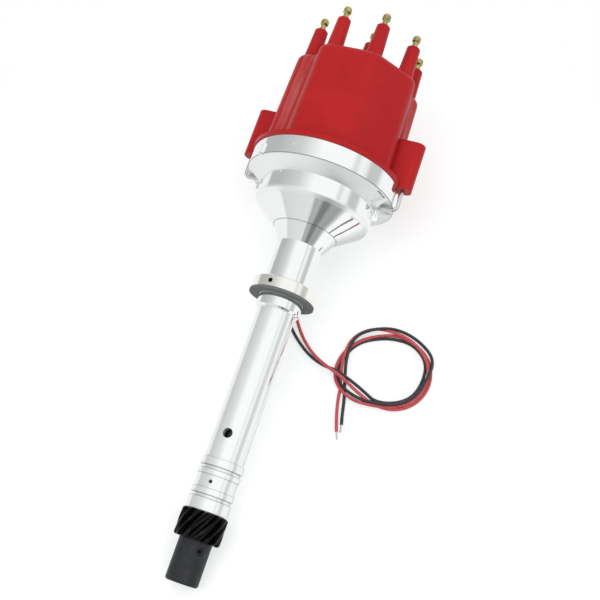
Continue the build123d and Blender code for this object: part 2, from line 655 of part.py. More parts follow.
with BuildPart() as trigger_wheel:
    with BuildSketch(Plane.XY.offset(TRIGGER_Z)):
        Circle(TRIGGER_ROOT_R)
        with PolarLocations(0, CYLINDERS, start_angle=ROTOR_ANGLE):
            Rectangle(TRIGGER_R, TRIGGER_TOOTH_WIDTH, align=(Align.MIN, Align.CENTER))
        Circle(SLEEVE_R, mode=Mode.SUBTRACT)
    extrude(amount=TRIGGER_HEIGHT)
lay(trigger_wheel, "trigger_wheel")

for number, turn in (("1", 0), ("2", 180)):
    with BuildPart() as weight:
        with BuildSketch(Plane.XY.offset(WEIGHT_Z)):
            start = ROTOR_ANGLE + turn + WEIGHT_HEEL_ANGLE
            with BuildLine():
                outer_edge = CenterArc((0, 0), WEIGHT_OUTER_R, start, WEIGHT_TOE_ANGLE - WEIGHT_HEEL_ANGLE)
                inner_edge = CenterArc((0, 0), WEIGHT_INNER_R, start, WEIGHT_TOE_ANGLE - WEIGHT_HEEL_ANGLE)
                Line(inner_edge @ 0, outer_edge @ 0)
                Line(inner_edge @ 1, outer_edge @ 1)
            make_face()
            with PolarLocations(POST_CIRCLE_R, 1, start_angle=ROTOR_ANGLE + turn):
                Circle(POST_R + RUNNING_FIT, mode=Mode.SUBTRACT)
        extrude(amount=WEIGHT_THICKNESS)
    lay(weight, "advance_weight_" + number)

post_offset = Vector(POST_CIRCLE_R, 0, 0).rotate(Axis.Z, ROTOR_ANGLE)
pin_offset = Vector(SPRING_PIN_CIRCLE_R, 0, 0).rotate(Axis.Z, ROTOR_ANGLE + SPRING_PIN_ANGLE)
spring_direction = (pin_offset - post_offset).normalized()
spring_length = (pin_offset - post_offset).length - POST_R - SEAT_GAP - SPRING_PIN_GAP - SPRING_PIN_R
with BuildPart() as advance_springs:
    for side in (1, -1):
        spring_start = (post_offset + spring_direction * (POST_R + SEAT_GAP)) * side
        with BuildSketch(Plane(origin=spring_start + Vector(0, 0, SPRING_Z), z_dir=spring_direction * side)):
            Circle(SPRING_R)
            Circle(SPRING_BORE_R, mode=Mode.SUBTRACT)
        extrude(amount=spring_length)
lay(advance_springs, "advance_springs")

# ---- rotor ------------------------------------------------------------------------------------------------
with BuildPart() as rotor:
    with BuildSketch(Plane.XZ):
        with BuildLine():
            Polyline(
                (0, ROTOR_BOTTOM),
                (ROTOR_BASE_R, ROTOR_BOTTOM),
                (ROTOR_BASE_R, ROTOR_BOTTOM + ROTOR_BASE),
                (ROTOR_FOOT_R, ROTOR_BOTTOM + ROTOR_BASE),
                (ROTOR_HEAD_R, ROTOR_HEAD_Z),
                (ROTOR_HEAD_R, BLADE_Z),
                (0, BLADE_Z),
                close=True,
            )
        make_face()
    revolve(axis=Axis.Z)
    with BuildSketch(level_plane(ROTOR_ANGLE, 0, ROTOR_HEAD_Z)):
        Rectangle(ROTOR_ARM_LENGTH, ROTOR_ARM_WIDTH, align=(Align.MIN, Align.CENTER))
    extrude(amount=ROTOR_ARM_HEIGHT)
    with BuildSketch(Plane.XY.offset(ROTOR_BOTTOM)):
        with post_places():
            Circle(POST_SCREW_R)
    extrude(amount=ROTOR_BASE, mode=Mode.SUBTRACT)
lay(rotor, "rotor")

with BuildPart() as rotor_blade:
    with BuildSketch(level_plane(ROTOR_ANGLE, -BLADE_TAIL, BLADE_Z)):
        Rectangle(BLADE_TIP_R + BLADE_TAIL, BLADE_WIDTH, align=(Align.MIN, Align.CENTER))
    extrude(amount=BLADE_THICKNESS)
lay(rotor_blade, "rotor_blade")

with BuildPart() as rotor_screws:
    with BuildSketch(Plane.XY.offset(ROTOR_BOTTOM + ROTOR_BASE)):
        with post_places():
            Circle(POST_SCREW_R)
    extrude(amount=-ROTOR_BASE - POST_SCREW_DEPTH + SEAT_GAP)
    with BuildSketch(Plane.XY.offset(ROTOR_BOTTOM + ROTOR_BASE)):
        with post_places():
            Circle(ROTOR_SCREW_HEAD_R)
    extrude(amount=ROTOR_SCREW_HEAD)
lay(rotor_screws, "rotor_screws")

# ---- cap --------------------------------------------------------------------------------------------------


def tower_outline(top):
    """Half outline of a tower, from inside the cap body to its chamfered top."""
    Polyline(
        (0, CAP_TOP - CAP_CORNER),
        (TOWER_BASE_R, CAP_TOP - CAP_CORNER),
        (TOWER_TOP_R, top - TOWER_CHAMFER),
        (TOWER_TOP_R - TOWER_CHAMFER, top),
        (0, top),
        close=True,
    )


def cap_section(z, inset):
    """The outline of the cap body at a height: a core, two single lobes and two flat-sided groups of three."""
    with BuildSketch() as lobe_group:
        with PolarLocations(
            LOBE_CIRCLE_R, 3, start_angle=-360 / CYLINDERS, angular_range=720 / CYLINDERS, endpoint=True
        ):
            Circle(LOBE_R - inset)
        make_hull()
    with BuildSketch(Plane.XY.offset(z)) as section:
        Circle(CAP_CORE_R - inset)
        with PolarLocations(LOBE_CIRCLE_R, 2, start_angle=TOWER_PHASE):
            Circle(LOBE_R - inset)
        with PolarLocations(0, 2, start_angle=TOWER_PHASE + 90):
            add(lobe_group.sketch)
    return section.sketch


def terminal_outline(bottom, seat):
    """Half outline of a terminal: a rod through the tower, and the domed tip that the plug lead snaps on."""
    neck = seat + TERMINAL_BASE
    slope = neck + TERMINAL_NECK
    band = slope + TERMINAL_SLOPE
    dome = band + TERMINAL_BAND
    Polyline(
        (TERMINAL_HEAD_R - TERMINAL_DOME, dome + TERMINAL_DOME),
        (0, dome + TERMINAL_DOME),
        (0, bottom),
        (ELECTRODE_R, bottom),
        (ELECTRODE_R, seat),
        (TERMINAL_BASE_R, seat),
        (TERMINAL_BASE_R, neck),
        (TERMINAL_NECK_R, neck),
        (TERMINAL_NECK_R, slope),
        (TERMINAL_HEAD_R, band),
        (TERMINAL_HEAD_R, dome),
    )
    RadiusArc((TERMINAL_HEAD_R, dome), (TERMINAL_HEAD_R - TERMINAL_DOME, dome + TERMINAL_DOME), -TERMINAL_DOME)


with BuildPart() as plug_tower:
    with BuildSketch(Plane.XZ):
        with BuildLine():
            tower_outline(TOWER_TOP)
        make_face()
    revolve(axis=Axis.Z)

with BuildPart() as coil_tower:
    with BuildSketch(Plane.XZ):
        with BuildLine():
            tower_outline(COIL_TOWER_TOP)
        make_face()
    revolve(axis=Axis.Z)

with BuildPart() as distributor_cap:
    cap_sections = [cap_section(RING_TOP, 0)]
    for step in range(CAP_CORNER_STEPS + 1):
        turn = radians(90 * step / CAP_CORNER_STEPS)
        z = CAP_TOP - CAP_CORNER * (1 - sin(turn))
        cap_sections.append(cap_section(z, CAP_DRAFT + CAP_CORNER * (1 - cos(turn))))
    loft(cap_sections, ruled=True)
    with BuildSketch(Plane.XZ):
        with BuildLine():
            Polyline(
                (0, RING_TOP),
                (CAP_LIP_R, RING_TOP),
                (CAP_LIP_R, RING_TOP + CAP_LIP_EDGE),
                (CAP_CORE_R - CAP_DRAFT, CAP_LIP_TOP),
                (0, CAP_LIP_TOP),
                close=True,
            )
        make_face()
    revolve(axis=Axis.Z)
    for side in (0, 180):
        with BuildSketch(level_plane(EAR_PHASE + side, EAR_CIRCLE_R, EAR_BOTTOM)):
            Circle(EAR_R)
            Rectangle(EAR_ARM, 2 * EAR_R, align=(Align.MAX, Align.CENTER))
        extrude(amount=EAR_HEIGHT)
    with BuildSketch(Plane.XZ):
        with BuildLine():
            Polyline(
                (0, RING_TOP),
                (CAP_INNER_BOTTOM_R, RING_TOP),
                (CAP_INNER_TOP_R, CAP_CEILING),
                (BUTTON_BOSS_R, CAP_CEILING),
                (BUTTON_BOSS_R, CAP_CEILING - BUTTON_BOSS_LENGTH),
                (0, CAP_CEILING - BUTTON_BOSS_LENGTH),
                close=True,
            )
        make_face()
    revolve(axis=Axis.Z, mode=Mode.SUBTRACT)
    with tower_places():
        add(plug_tower.part)
    add(coil_tower.part)
    with BuildSketch(Plane.XY.offset(ELECTRODE_END - SEAT_GAP)):
        with tower_places():
            Circle(ELECTRODE_R)
    extrude(amount=TOWER_TOP - ELECTRODE_END + SEAT_GAP, mode=Mode.SUBTRACT)
    with BuildSketch(Plane.XY.offset(CAP_CEILING - BUTTON_BOSS_LENGTH)):
        Circle(BUTTON_R + SEAT_GAP)
    extrude(amount=BUTTON_TOP + BUTTON_SPRING_LENGTH - CAP_CEILING + BUTTON_BOSS_LENGTH, mode=Mode.SUBTRACT)
    with BuildSketch(Plane.XY.offset(BUTTON_TOP)):
        Circle(ELECTRODE_R)
    extrude(amount=COIL_TOWER_TOP - BUTTON_TOP, mode=Mode.SUBTRACT)
    for side in (0, 180):
        with BuildSketch(level_plane(EAR_PHASE + side, EAR_CIRCLE_R, EAR_BOTTOM)):
            Circle(LATCH_R + SEAT_GAP)
        extrude(amount=EAR_HEIGHT, mode=Mode.SUBTRACT)
        with BuildSketch(level_plane(EAR_PHASE + side, EAR_CIRCLE_R, LATCH_WELL_FLOOR)):
            Circle(LATCH_WELL_R)
        extrude(amount=LATCH_WELL_DEPTH, mode=Mode.SUBTRACT)
lay(distributor_cap, "distributor_cap")


with BuildPart() as plug_terminal:
    with BuildSketch(Plane.XZ):
        with BuildLine():
            terminal_outline(ELECTRODE_END, TOWER_TOP)
        make_face()
    revolve(axis=Axis.Z)

with BuildPart() as plug_terminals:
    with tower_places():
        add(plug_terminal.part)
lay(plug_terminals, "plug_terminals")

with BuildPart() as coil_terminal:
    with BuildSketch(Plane.XZ):
        with BuildLine():
            terminal_outline(BUTTON_TOP + BUTTON_SPRING_LENGTH, COIL_TOWER_TOP)
        make_face()
    revolve(axis=Axis.Z)
lay(coil_terminal, "coil_terminal")

with BuildPart() as carbon_button:
    with BuildSketch(Plane.XY.offset(BUTTON_BOTTOM)):
        Circle(BUTTON_R)
    extrude(amount=BUTTON_LENGTH)
lay(carbon_button, "carbon_button")

with BuildPart() as button_spring:
    add_ring(BUTTON_R - SEAT_GAP, BUTTON_R / 2, BUTTON_TOP, BUTTON_TOP + BUTTON_SPRING_LENGTH)
lay(button_spring, "button_spring")

# ---- cap latches ------------------------------------------------------------------------------------------
for name, side in (("left", 0), ("right", 180)):
    angle = EAR_PHASE + side
    with BuildPart() as latch_rod:
        with BuildLine(radial_section(angle)) as hook:
            FilletPolyline(
                (EAR_CIRCLE_R, LATCH_HEAD_TOP - LATCH_HEAD),
                (EAR_CIRCLE_R, LATCH_LEG_Z),
                (EAR_CIRCLE_R - LATCH_LEG_LENGTH, LATCH_LEG_Z),
                radius=LATCH_BEND_R,
            )
        with BuildSketch(level_plane(angle, EAR_CIRCLE_R, LATCH_HEAD_TOP - LATCH_HEAD)):
            Circle(LATCH_R)
        sweep(path=hook.wire())
        with BuildSketch(level_plane(angle, EAR_CIRCLE_R, LATCH_HEAD_TOP - LATCH_HEAD)):
            Circle(LATCH_HEAD_R)
        extrude(amount=LATCH_HEAD)
        with BuildSketch(level_plane(angle, EAR_CIRCLE_R, LATCH_HEAD_TOP)):
            Rectangle(2 * LATCH_HEAD_R, LATCH_SLOT)
        extrude(amount=-LATCH_SLOT, mode=Mode.SUBTRACT)
    lay(latch_rod, f"latch_rod_{name}")

    with BuildPart() as latch_washer:
        with BuildSketch(level_plane(angle, EAR_CIRCLE_R, LATCH_WASHER_TOP - LATCH_WASHER)):
            Circle(LATCH_HEAD_R)
            Circle(LATCH_R + SEAT_GAP, mode=Mode.SUBTRACT)
        extrude(amount=LATCH_WASHER)
    lay(latch_washer, f"latch_washer_{name}")

    with BuildPart() as latch_spring:
        with BuildSketch(level_plane(angle, EAR_CIRCLE_R, LATCH_WELL_FLOOR)):
            Circle(LATCH_SPRING_R)
            Circle(LATCH_SPRING_R - LATCH_SPRING_WIRE, mode=Mode.SUBTRACT)
        extrude(amount=LATCH_WASHER_TOP - LATCH_WASHER - LATCH_WELL_FLOOR)
    lay(latch_spring, f"latch_spring_{name}")

# ---- leads ------------------------------------------------------------------------------------------------
with BuildPart() as lead_grommet:
    with BuildSketch(GROMMET):
        Circle(GROMMET_R)
    extrude(amount=-GROMMET_R)
    with BuildSketch(GROMMET):
        Circle(GROMMET_FLANGE_R)
    extrude(amount=GROMMET_FLANGE)
    with BuildSketch(GROMMET.offset(GROMMET_FLANGE)):
        Circle(GROMMET_BORE_R)
    extrude(amount=-GROMMET_FLANGE - GROMMET_R, mode=Mode.SUBTRACT)
lay(lead_grommet, "lead_grommet")

outlet = LYING * Location(GROMMET)
outlet_point = outlet.position
outlet_direction = Plane(outlet).z_dir
LEAD_Z = LEAD_R - BENCH
OVER_Z = LEAD_Z + LEAD_PITCH  # of a lead that passes over the other one
LEAD_ROUTES = {
    "red": (
        (56.5, 0.3, -32.2),
        (47.0, 0.6, LEAD_Z),
        (35.0, -0.5, LEAD_Z),
        (22.0, -3.2, LEAD_Z),
        (8.5, -9.7, LEAD_Z),
        (-3.0, -17.6, LEAD_Z),
        (-10.8, -24.9, OVER_Z),
        (-16.4, -31.6, OVER_Z),
        (-20.9, -39.8, OVER_Z),
        (-25.0, -48.4, OVER_Z),
        (-28.4, -57.2, OVER_Z),
    ),
    "black": (
        (56.5, 3.0, -32.2),
        (47.0, 4.0, LEAD_Z),
        (33.0, 3.5, LEAD_Z),
        (18.0, 2.0, LEAD_Z),
        (6.0, -3.5, LEAD_Z),
        (-3.4, -11.4, LEAD_Z),
        (-9.8, -18.4, LEAD_Z),
        (-15.5, -26.2, LEAD_Z),
        (-19.0, -33.4, LEAD_Z),
        (-21.8, -41.5, LEAD_Z),
        (-23.2, -50.2, LEAD_Z),
        (-26.0, -58.4, LEAD_Z),
    ),
}
TAIL_ROUTES = {
    "red": (
        (-34.5, -57.8, LEAD_Z),
        (-42.0, -58.5, LEAD_Z),
        (-51.5, -60.5, LEAD_Z),
        (-60.0, -62.8, LEAD_Z),
        (-66.3, -64.9, LEAD_Z),
    ),
    "black": (
        (-35.0, -61.2, LEAD_Z),
        (-43.6, -63.4, LEAD_Z),
        (-53.0, -65.0, LEAD_Z),
        (-60.3, -66.8, LEAD_Z),
    ),
}
TAIL_TIPS = {"red": (-71.9, -67.0, LEAD_Z), "black": (-66.2, -67.7, LEAD_Z)}


def corner_radii(points):
    """The radius of each corner of a route, as large as the runs beside it allow."""
    radii = []
    for before, corner, after in zip(points, points[1:], points[2:]):
        arriving, leaving = corner - before, after - corner
        half_turn = radians(arriving.get_angle(leaving)) / 2
        radii.append(0.45 * min(arriving.length, leaving.length) / tan(half_turn))
    return radii


def add_tube(points, radius):
    """Add a tube along a route to the part being built, with a tangent arc at each corner."""
    with BuildLine() as path:
        if len(points) > 2:
            FilletPolyline(*points, radius=corner_radii(points))
        else:
            Line(*points)
    with BuildSketch(Plane(origin=path.line @ 0, z_dir=path.line % 0)) as section:
        Circle(radius)
    sweep(section.sketch, path=path.wire())


for name, side in (("red", -1), ("black", 1)):
    beside = outlet_point + Vector(0, side * LEAD_PITCH / 2, 0)
    inner = beside - outlet_direction * GROMMET_R
    outer = beside + outlet_direction * (GROMMET_FLANGE + LEAD_R)
    route = [inner, outer, *[Vector(*point) for point in LEAD_ROUTES[name]]]
    with BuildPart() as lead:
        add_tube(route, LEAD_R)
    print(name, "lead radii", [round(radius, 1) for radius in corner_radii(route)])
    save(lead.part, f"{name}_lead")
    tail_route = [Vector(*point) for point in TAIL_ROUTES[name]]
    with BuildPart() as tail:
        add_tube(tail_route, LEAD_R)
    print(name, "tail radii", [round(radius, 1) for radius in corner_radii(tail_route)])
    save(tail.part, f"{name}_lead_end")
    with BuildPart() as tip:
        add_tube([tail_route[-1], Vector(*TAIL_TIPS[name])], LEAD_CORE_R)
    save(tip.part, f"{name}_lead_core")

with BuildPart() as lead_coil:
    with BuildSketch(Plane.XY.offset(-BENCH)):
        with Locations(COIL_CENTRE):
            Circle(COIL_MEAN_R + COIL_HALF_WIDTH)
            Circle(COIL_MEAN_R - COIL_HALF_WIDTH, mode=Mode.SUBTRACT)
    extrude(amount=COIL_HEIGHT)
save(lead_coil.part, "lead_coil")
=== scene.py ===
"""The looks of an ignition distributor that lies on a bench, around its fixed CAD frame. Lengths are metres."""

from math import cos, radians, sin, tau

import bpy
import numpy as np
from mathutils import Matrix, Vector


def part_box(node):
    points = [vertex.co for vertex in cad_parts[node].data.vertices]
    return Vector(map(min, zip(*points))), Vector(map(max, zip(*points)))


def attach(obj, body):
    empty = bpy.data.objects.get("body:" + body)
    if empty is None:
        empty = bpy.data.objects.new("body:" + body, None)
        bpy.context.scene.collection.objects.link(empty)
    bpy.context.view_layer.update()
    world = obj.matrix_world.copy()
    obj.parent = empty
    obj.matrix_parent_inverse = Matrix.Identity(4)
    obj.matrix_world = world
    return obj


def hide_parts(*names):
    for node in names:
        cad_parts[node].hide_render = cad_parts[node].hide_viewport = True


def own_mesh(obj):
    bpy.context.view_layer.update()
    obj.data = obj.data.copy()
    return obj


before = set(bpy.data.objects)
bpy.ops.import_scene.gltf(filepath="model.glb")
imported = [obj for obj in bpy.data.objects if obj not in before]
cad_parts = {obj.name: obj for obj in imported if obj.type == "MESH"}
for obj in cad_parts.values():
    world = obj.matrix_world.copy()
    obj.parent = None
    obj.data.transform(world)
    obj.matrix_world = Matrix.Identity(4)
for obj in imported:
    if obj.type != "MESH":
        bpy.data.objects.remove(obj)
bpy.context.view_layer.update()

# ---- sizes and places -------------------------------------------------------------------------------------
LEAN = radians(8.6008)  # the shaft rises towards the cap by this much
SHAFT_AXIS = Vector((cos(LEAN), 0, sin(LEAN)))
SHAFT_UP = Vector((-sin(LEAN), 0, cos(LEAN)))
BENCH_Z = min(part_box("drive_gear")[0][2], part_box("housing")[0][2])

LEAD_RADIUS = 0.0012
LEAD_Z = BENCH_Z + LEAD_RADIUS
LAYER = 2.1 * LEAD_RADIUS  # one lead on top of another
LOOP_CENTRE = (-0.0102, -0.0842)
LOOP_START = 180  # degrees, where the leads join their loop
LOOP_STEP = 30
CORNER_CUT = cos(radians(LOOP_STEP / 2)) ** 2 * 0.5 + 0.5  # how far inside its points the spline of a loop runs


# ---- camera -----------------------------------------------------------------------------------------------
CAMERA_PLACE = Vector((-0.28855, -0.09192, 0.64324))
CAMERA_AIM = Vector((0.00502, -0.01257, 0.0))
CAMERA_ROLL = radians(3.666)
CAMERA_LENS = 60.0
SENSOR = 36.0


def add_camera():
    """The camera looks down on the distributor from the gear's side, and leans a little to its left."""
    data = bpy.data.cameras.new("camera")
    data.lens = CAMERA_LENS
    data.sensor_width = SENSOR
    data.clip_start = 0.01
    camera = bpy.data.objects.new("camera", data)
    bpy.context.scene.collection.objects.link(camera)
    turn = (CAMERA_AIM - CAMERA_PLACE).to_track_quat("-Z", "Y").to_matrix().to_4x4()
    camera.matrix_world = Matrix.Translation(CAMERA_PLACE) @ turn @ Matrix.Rotation(CAMERA_ROLL, 4, "Z")
    bpy.context.scene.camera = camera


add_camera()


# ---- shader maths -----------------------------------------------------------------------------------------
class Value:
    """A number that changes over a surface: a node's socket that takes part in plain arithmetic."""

    def __init__(self, finish, socket):
        self.finish = finish
        self.socket = socket

    def maths(self, operation, first, second):
        return self.finish.node("Math", {"operation": operation}, {0: first, 1: second})

    def __add__(self, other):
        return self.maths("ADD", self, other)

    def __radd__(self, other):
        return self.maths("ADD", other, self)

    def __sub__(self, other):
        return self.maths("SUBTRACT", self, other)

    def __rsub__(self, other):
        return self.maths("SUBTRACT", other, self)

    def __mul__(self, other):
        return self.maths("MULTIPLY", self, other)

    def __rmul__(self, other):
        return self.maths("MULTIPLY", other, self)

    def __pow__(self, other):
        return self.maths("POWER", self, other)


class Finish:
    """One node-based material. Its pattern nodes read Object coordinates."""

    def __init__(self, name, tree_owner=None):
        self.material = tree_owner or bpy.data.materials.new(name)
        self.material.use_nodes = True
        self.tree = self.material.node_tree
        self.tree.nodes.clear()

    def node(self, kind, settings=None, sockets=None, out=0):
        """Adds a node: its settings first, then the values or links of its sockets. Returns one output."""
        made = self.tree.nodes.new("ShaderNode" + kind)
        for name, value in (settings or {}).items():
            if name == "stops":
                for index, (place, colour) in enumerate(value):
                    stop = made.color_ramp.elements[index] if index < 2 else made.color_ramp.elements.new(place)
                    stop.position = place
                    stop.color = (*colour, 1)
            else:
                setattr(made, name, value)
        for name, value in (sockets or {}).items():
            if isinstance(value, Value):
                self.tree.links.new(value.socket, made.inputs[name])
            elif isinstance(value, tuple) and len(value) == 3 and made.inputs[name].type == "RGBA":
                made.inputs[name].default_value = (*value, 1)
            else:
                made.inputs[name].default_value = value
        return Value(self, made.outputs[out])

    def place(self):
        return self.node("TexCoord", out=3)

    def noise(self, scale, detail=3.0, roughness=0.5, at=None):
        """Soft noise of about a value of 0.5, with this many cells to a metre."""
        sockets = {"Vector": at or self.place(), "Scale": scale, "Detail": detail, "Roughness": roughness}
        return self.node("TexNoise", {}, sockets)

    def dot(self, vector, axis):
        return self.node("VectorMath", {"operation": "DOT_PRODUCT"}, {0: vector, 1: tuple(axis)}, out=1)

    def along(self, axis):
        """The distance along an axis through the origin, in metres."""
        return self.dot(self.place(), axis)

    def round_the_shaft(self):
        """The turn about the shaft, in radians, as the CAD's own angles run, and the distance from its axis."""
        upward = self.along(SHAFT_UP)
        aside = self.along((0, 1, 0))
        turn = self.node("Math", {"operation": "ARCTAN2"}, {0: aside, 1: 0 - upward})
        return turn, (upward * upward + aside * aside) ** 0.5

    def gap(self, first, second):
        """How far apart two values are."""
        return self.node("Math", {"operation": "ABSOLUTE"}, {0: first - second})

    def band(self, value, low, high, soft):
        """1 between low and high, 0 outside, with soft edges this wide."""
        return self.step(value, low - soft, low) * (1 - self.step(value, high, high + soft))

    def lines(self, value, places, width):
        """1 on thin lines at these places, 0 between them."""
        total = 0
        for place in places:
            total = (1 - self.step(self.gap(value, place), width * 0.25, width)) + total
        return total

    def rings(self, height, pitch):
        """A wave between -1 and 1 along the shaft, as a lathe's feed leaves it."""
        return self.node("Math", {"operation": "SINE"}, {0: height * (tau / pitch)})

    def step(self, value, low, high):
        """0 below low, 1 above high and smooth between them."""
        settings = {"interpolation_type": "SMOOTHSTEP"}
        return self.node("MapRange", settings, {0: value, 1: low, 2: high, 3: 0.0, 4: 1.0})

    def mix(self, factor, first, second):
        """A colour between two others."""
        return self.node("Mix", {"data_type": "RGBA"}, {0: factor, 6: first, 7: second}, out=2)

    def bump(self, height, distance):
        """A normal from a height between 0 and 1, where 1 stands this far out, in metres."""
        return self.node("Bump", {}, {"Height": height, "Distance": distance, "Strength": 1.0})

    def surface(self, **sockets):
        """Ends the material in a Principled shader with these sockets."""
        named = {name.replace("_", " "): value for name, value in sockets.items()}
        shader = self.node("BsdfPrincipled", {}, named)
        output = self.tree.nodes.new("ShaderNodeOutputMaterial")
        self.tree.links.new(shader.socket, output.inputs["Surface"])
        return self.material


# Heights along the shaft, from the gasket's seat.
SHOULDER = (0.0668, 0.0704)  # turned, not polished, as the flare is
FLARE = (0.0826, 0.0886)
TUBE_TOP = -0.0095
# The housing's lines of painted shade lie at these groove and step edges.
GROOVE_EDGES = (-0.1475, -0.1452, -0.1283, -0.1260, 0.0888)
FINE_EDGES = (-0.1410, -0.1320, -0.1205, 0.0536)
GROOVE_WIDTH = 0.0004
FINE_WIDTH = 0.00032


def polished_aluminium():
    """Polished aluminium: mirror-bright cones, a softer barrel, turned shoulder and flare, and painted shade in
    dark lines along the groove and step edges, in place of their shade and the dark they mirror.
    """
    finish = Finish("polished_aluminium")
    height = finish.along(SHAFT_AXIS)
    turned = finish.band(height, *SHOULDER, 0.0005) * 0.6 + finish.band(height, *FLARE, 0.0004)
    barrel = 1 - finish.step(height, TUBE_TOP - 0.001, TUBE_TOP)
    # Painted shade: the colour goes dark on thin lines at the groove and step edges, standing in for the shade and
    # dark reflections there.
    groove_shade = finish.lines(height, GROOVE_EDGES, GROOVE_WIDTH)
    edges = groove_shade * 0.8 + finish.lines(height, FINE_EDGES, FINE_WIDTH) * 0.55
    rings = finish.rings(height, 0.0006)
    smears = finish.noise(38.0, 4.0, 0.6)
    smeared = finish.step(smears, 0.45, 0.75)
    grain = finish.noise(900.0, 2.0)
    bright = finish.mix(smears, (0.90, 0.93, 0.925), (0.955, 0.97, 0.965))
    return finish.surface(
        # The base colour turns to a painted shade on the edge lines.
        Base_Color=finish.mix(edges, bright, (0.20, 0.22, 0.22)),
        Metallic=1 - turned * 0.35 - barrel * 0.3,
        Roughness=0.045 + smeared * 0.03 + turned * 0.3 + barrel * 0.06,
        Normal=finish.bump(rings * turned * 0.5 + grain * 0.2, 0.000004),
    )


def satin_nickel():
    """Turned and plated steel of the collar, warm and less bright than the housing."""
    finish = Finish("satin_nickel")
    height = finish.along(SHAFT_AXIS)
    rings = finish.rings(height, 0.0005)
    cloud = finish.noise(60.0, 3.0)
    return finish.surface(
        Base_Color=finish.mix(cloud, (0.90, 0.89, 0.84), (0.98, 0.97, 0.93)),
        Metallic=1.0,
        Roughness=0.12 + cloud * 0.06,
        Normal=finish.bump(rings * 0.4 + finish.noise(1500.0) * 0.5, 0.000002),
    )


def black_moulding():
    """Glossy black plastic: a little mottling in the colour and the gentle unevenness of a moulded face."""
    finish = Finish("black_plastic")
    cloud = finish.noise(26.0, 3.0, 0.55)
    ripple = finish.noise(210.0, 2.0)
    return finish.surface(
        Base_Color=finish.mix(finish.step(cloud, 0.3, 0.7), (0.010, 0.010, 0.011), (0.022, 0.022, 0.024)),
        Roughness=0.38 + finish.step(cloud, 0.4, 0.8) * 0.06,
        Normal=finish.bump(ripple, 0.00003),
        Specular_IOR_Level=0.45,
    )


LOBE_TURN = radians(103.5)  # where the cap's single lobes stand; a channel runs up each side of both
# The streaks of painted reflection lie over the CHANNEL turns, and the painted highlight line runs at CHANNEL_EDGE.
CHANNEL = (radians(10.5), radians(17))
CHANNEL_EDGE = radians(23)
CHANNEL_REACH = 0.0475
CAP_SIDE = (0.1125, 0.1835)


def cap_plastic():
    """Red moulded plastic, with painted reflections: pale streaks up the walls of the four channels beside the
    single lobes, and a painted highlight line at the border of each channel.
    """
    finish = Finish("cap_plastic")
    height = finish.along(SHAFT_AXIS)
    turn, reach = finish.round_the_shaft()
    cloud = finish.noise(26.0, 3.0, 0.55)
    ripple = finish.noise(210.0, 2.0)
    from_lobe = finish.node("Math", {"operation": "PINGPONG"}, {0: turn - LOBE_TURN + tau, 1: tau / 4})
    inside = 1 - finish.step(reach, CHANNEL_REACH, CHANNEL_REACH + 0.0008)
    wall = finish.band(height, *CAP_SIDE, 0.001) * inside
    # Painted reflection: pale streaks over the channel walls where their glossy faces would mirror a bright studio,
    # and a painted highlight along each channel's rounded border.
    channel = finish.band(from_lobe, *CHANNEL, 0.02) * wall
    edge_highlight = finish.lines(from_lobe, (CHANNEL_EDGE,), 0.014) * wall
    across = finish.node("CombineXYZ", {}, {0: turn * 0.05, 1: height * 0.03})
    streak_noise = finish.noise(620.0, 3.0, 0.6, across)
    painted_streaks = channel * (0.15 + finish.step(streak_noise, 0.38, 0.68) * 0.75) + edge_highlight * 0.6
    plain = finish.mix(finish.step(cloud, 0.3, 0.7), (0.43, 0.011, 0.013), (0.48, 0.014, 0.016))
    return finish.surface(
        # The base colour turns pale pink where the painted reflection streaks and the painted highlight lie.
        Base_Color=finish.mix(painted_streaks, plain, (0.53, 0.15, 0.15)),
        Roughness=0.36 + finish.step(cloud, 0.4, 0.8) * 0.06 - channel * 0.1,
        Normal=finish.bump(ripple, 0.00003),
        Specular_IOR_Level=0.16,
    )


def gasket_paper():
    """Grey gasket sheet with pressed fibres."""
    finish = Finish("gasket_paper")
    fibres = finish.noise(2600.0, 4.0, 0.7)
    cloud = finish.noise(120.0, 2.0)
    return finish.surface(
        Base_Color=finish.mix(fibres * 0.6 + cloud * 0.4, (0.115, 0.121, 0.122), (0.20, 0.208, 0.208)),
        Roughness=0.82,
        Normal=finish.bump(fibres, 0.00004),
    )


def oxide_steel(name, dark, light, roughness):
    """Blackened or bare dark steel with a fine machined grain and rubbed, brighter patches."""
    finish = Finish(name)
    grain = finish.noise(1400.0, 4.0, 0.6)
    rub = finish.step(finish.noise(90.0, 3.0), 0.45, 0.75)
    return finish.surface(
        Base_Color=finish.mix(rub, dark, light),
        Metallic=0.85,
        Roughness=roughness + grain * 0.12,
        Normal=finish.bump(grain, 0.00001),
    )


PIN_PLACE = (-0.17916, 0.0, -0.0271)
PIN_AXIS = Vector((-0.1254, -0.5446, 0.8292)).normalized()
PIN_RADIUS = 0.0024
HUB_TOP = -0.1750


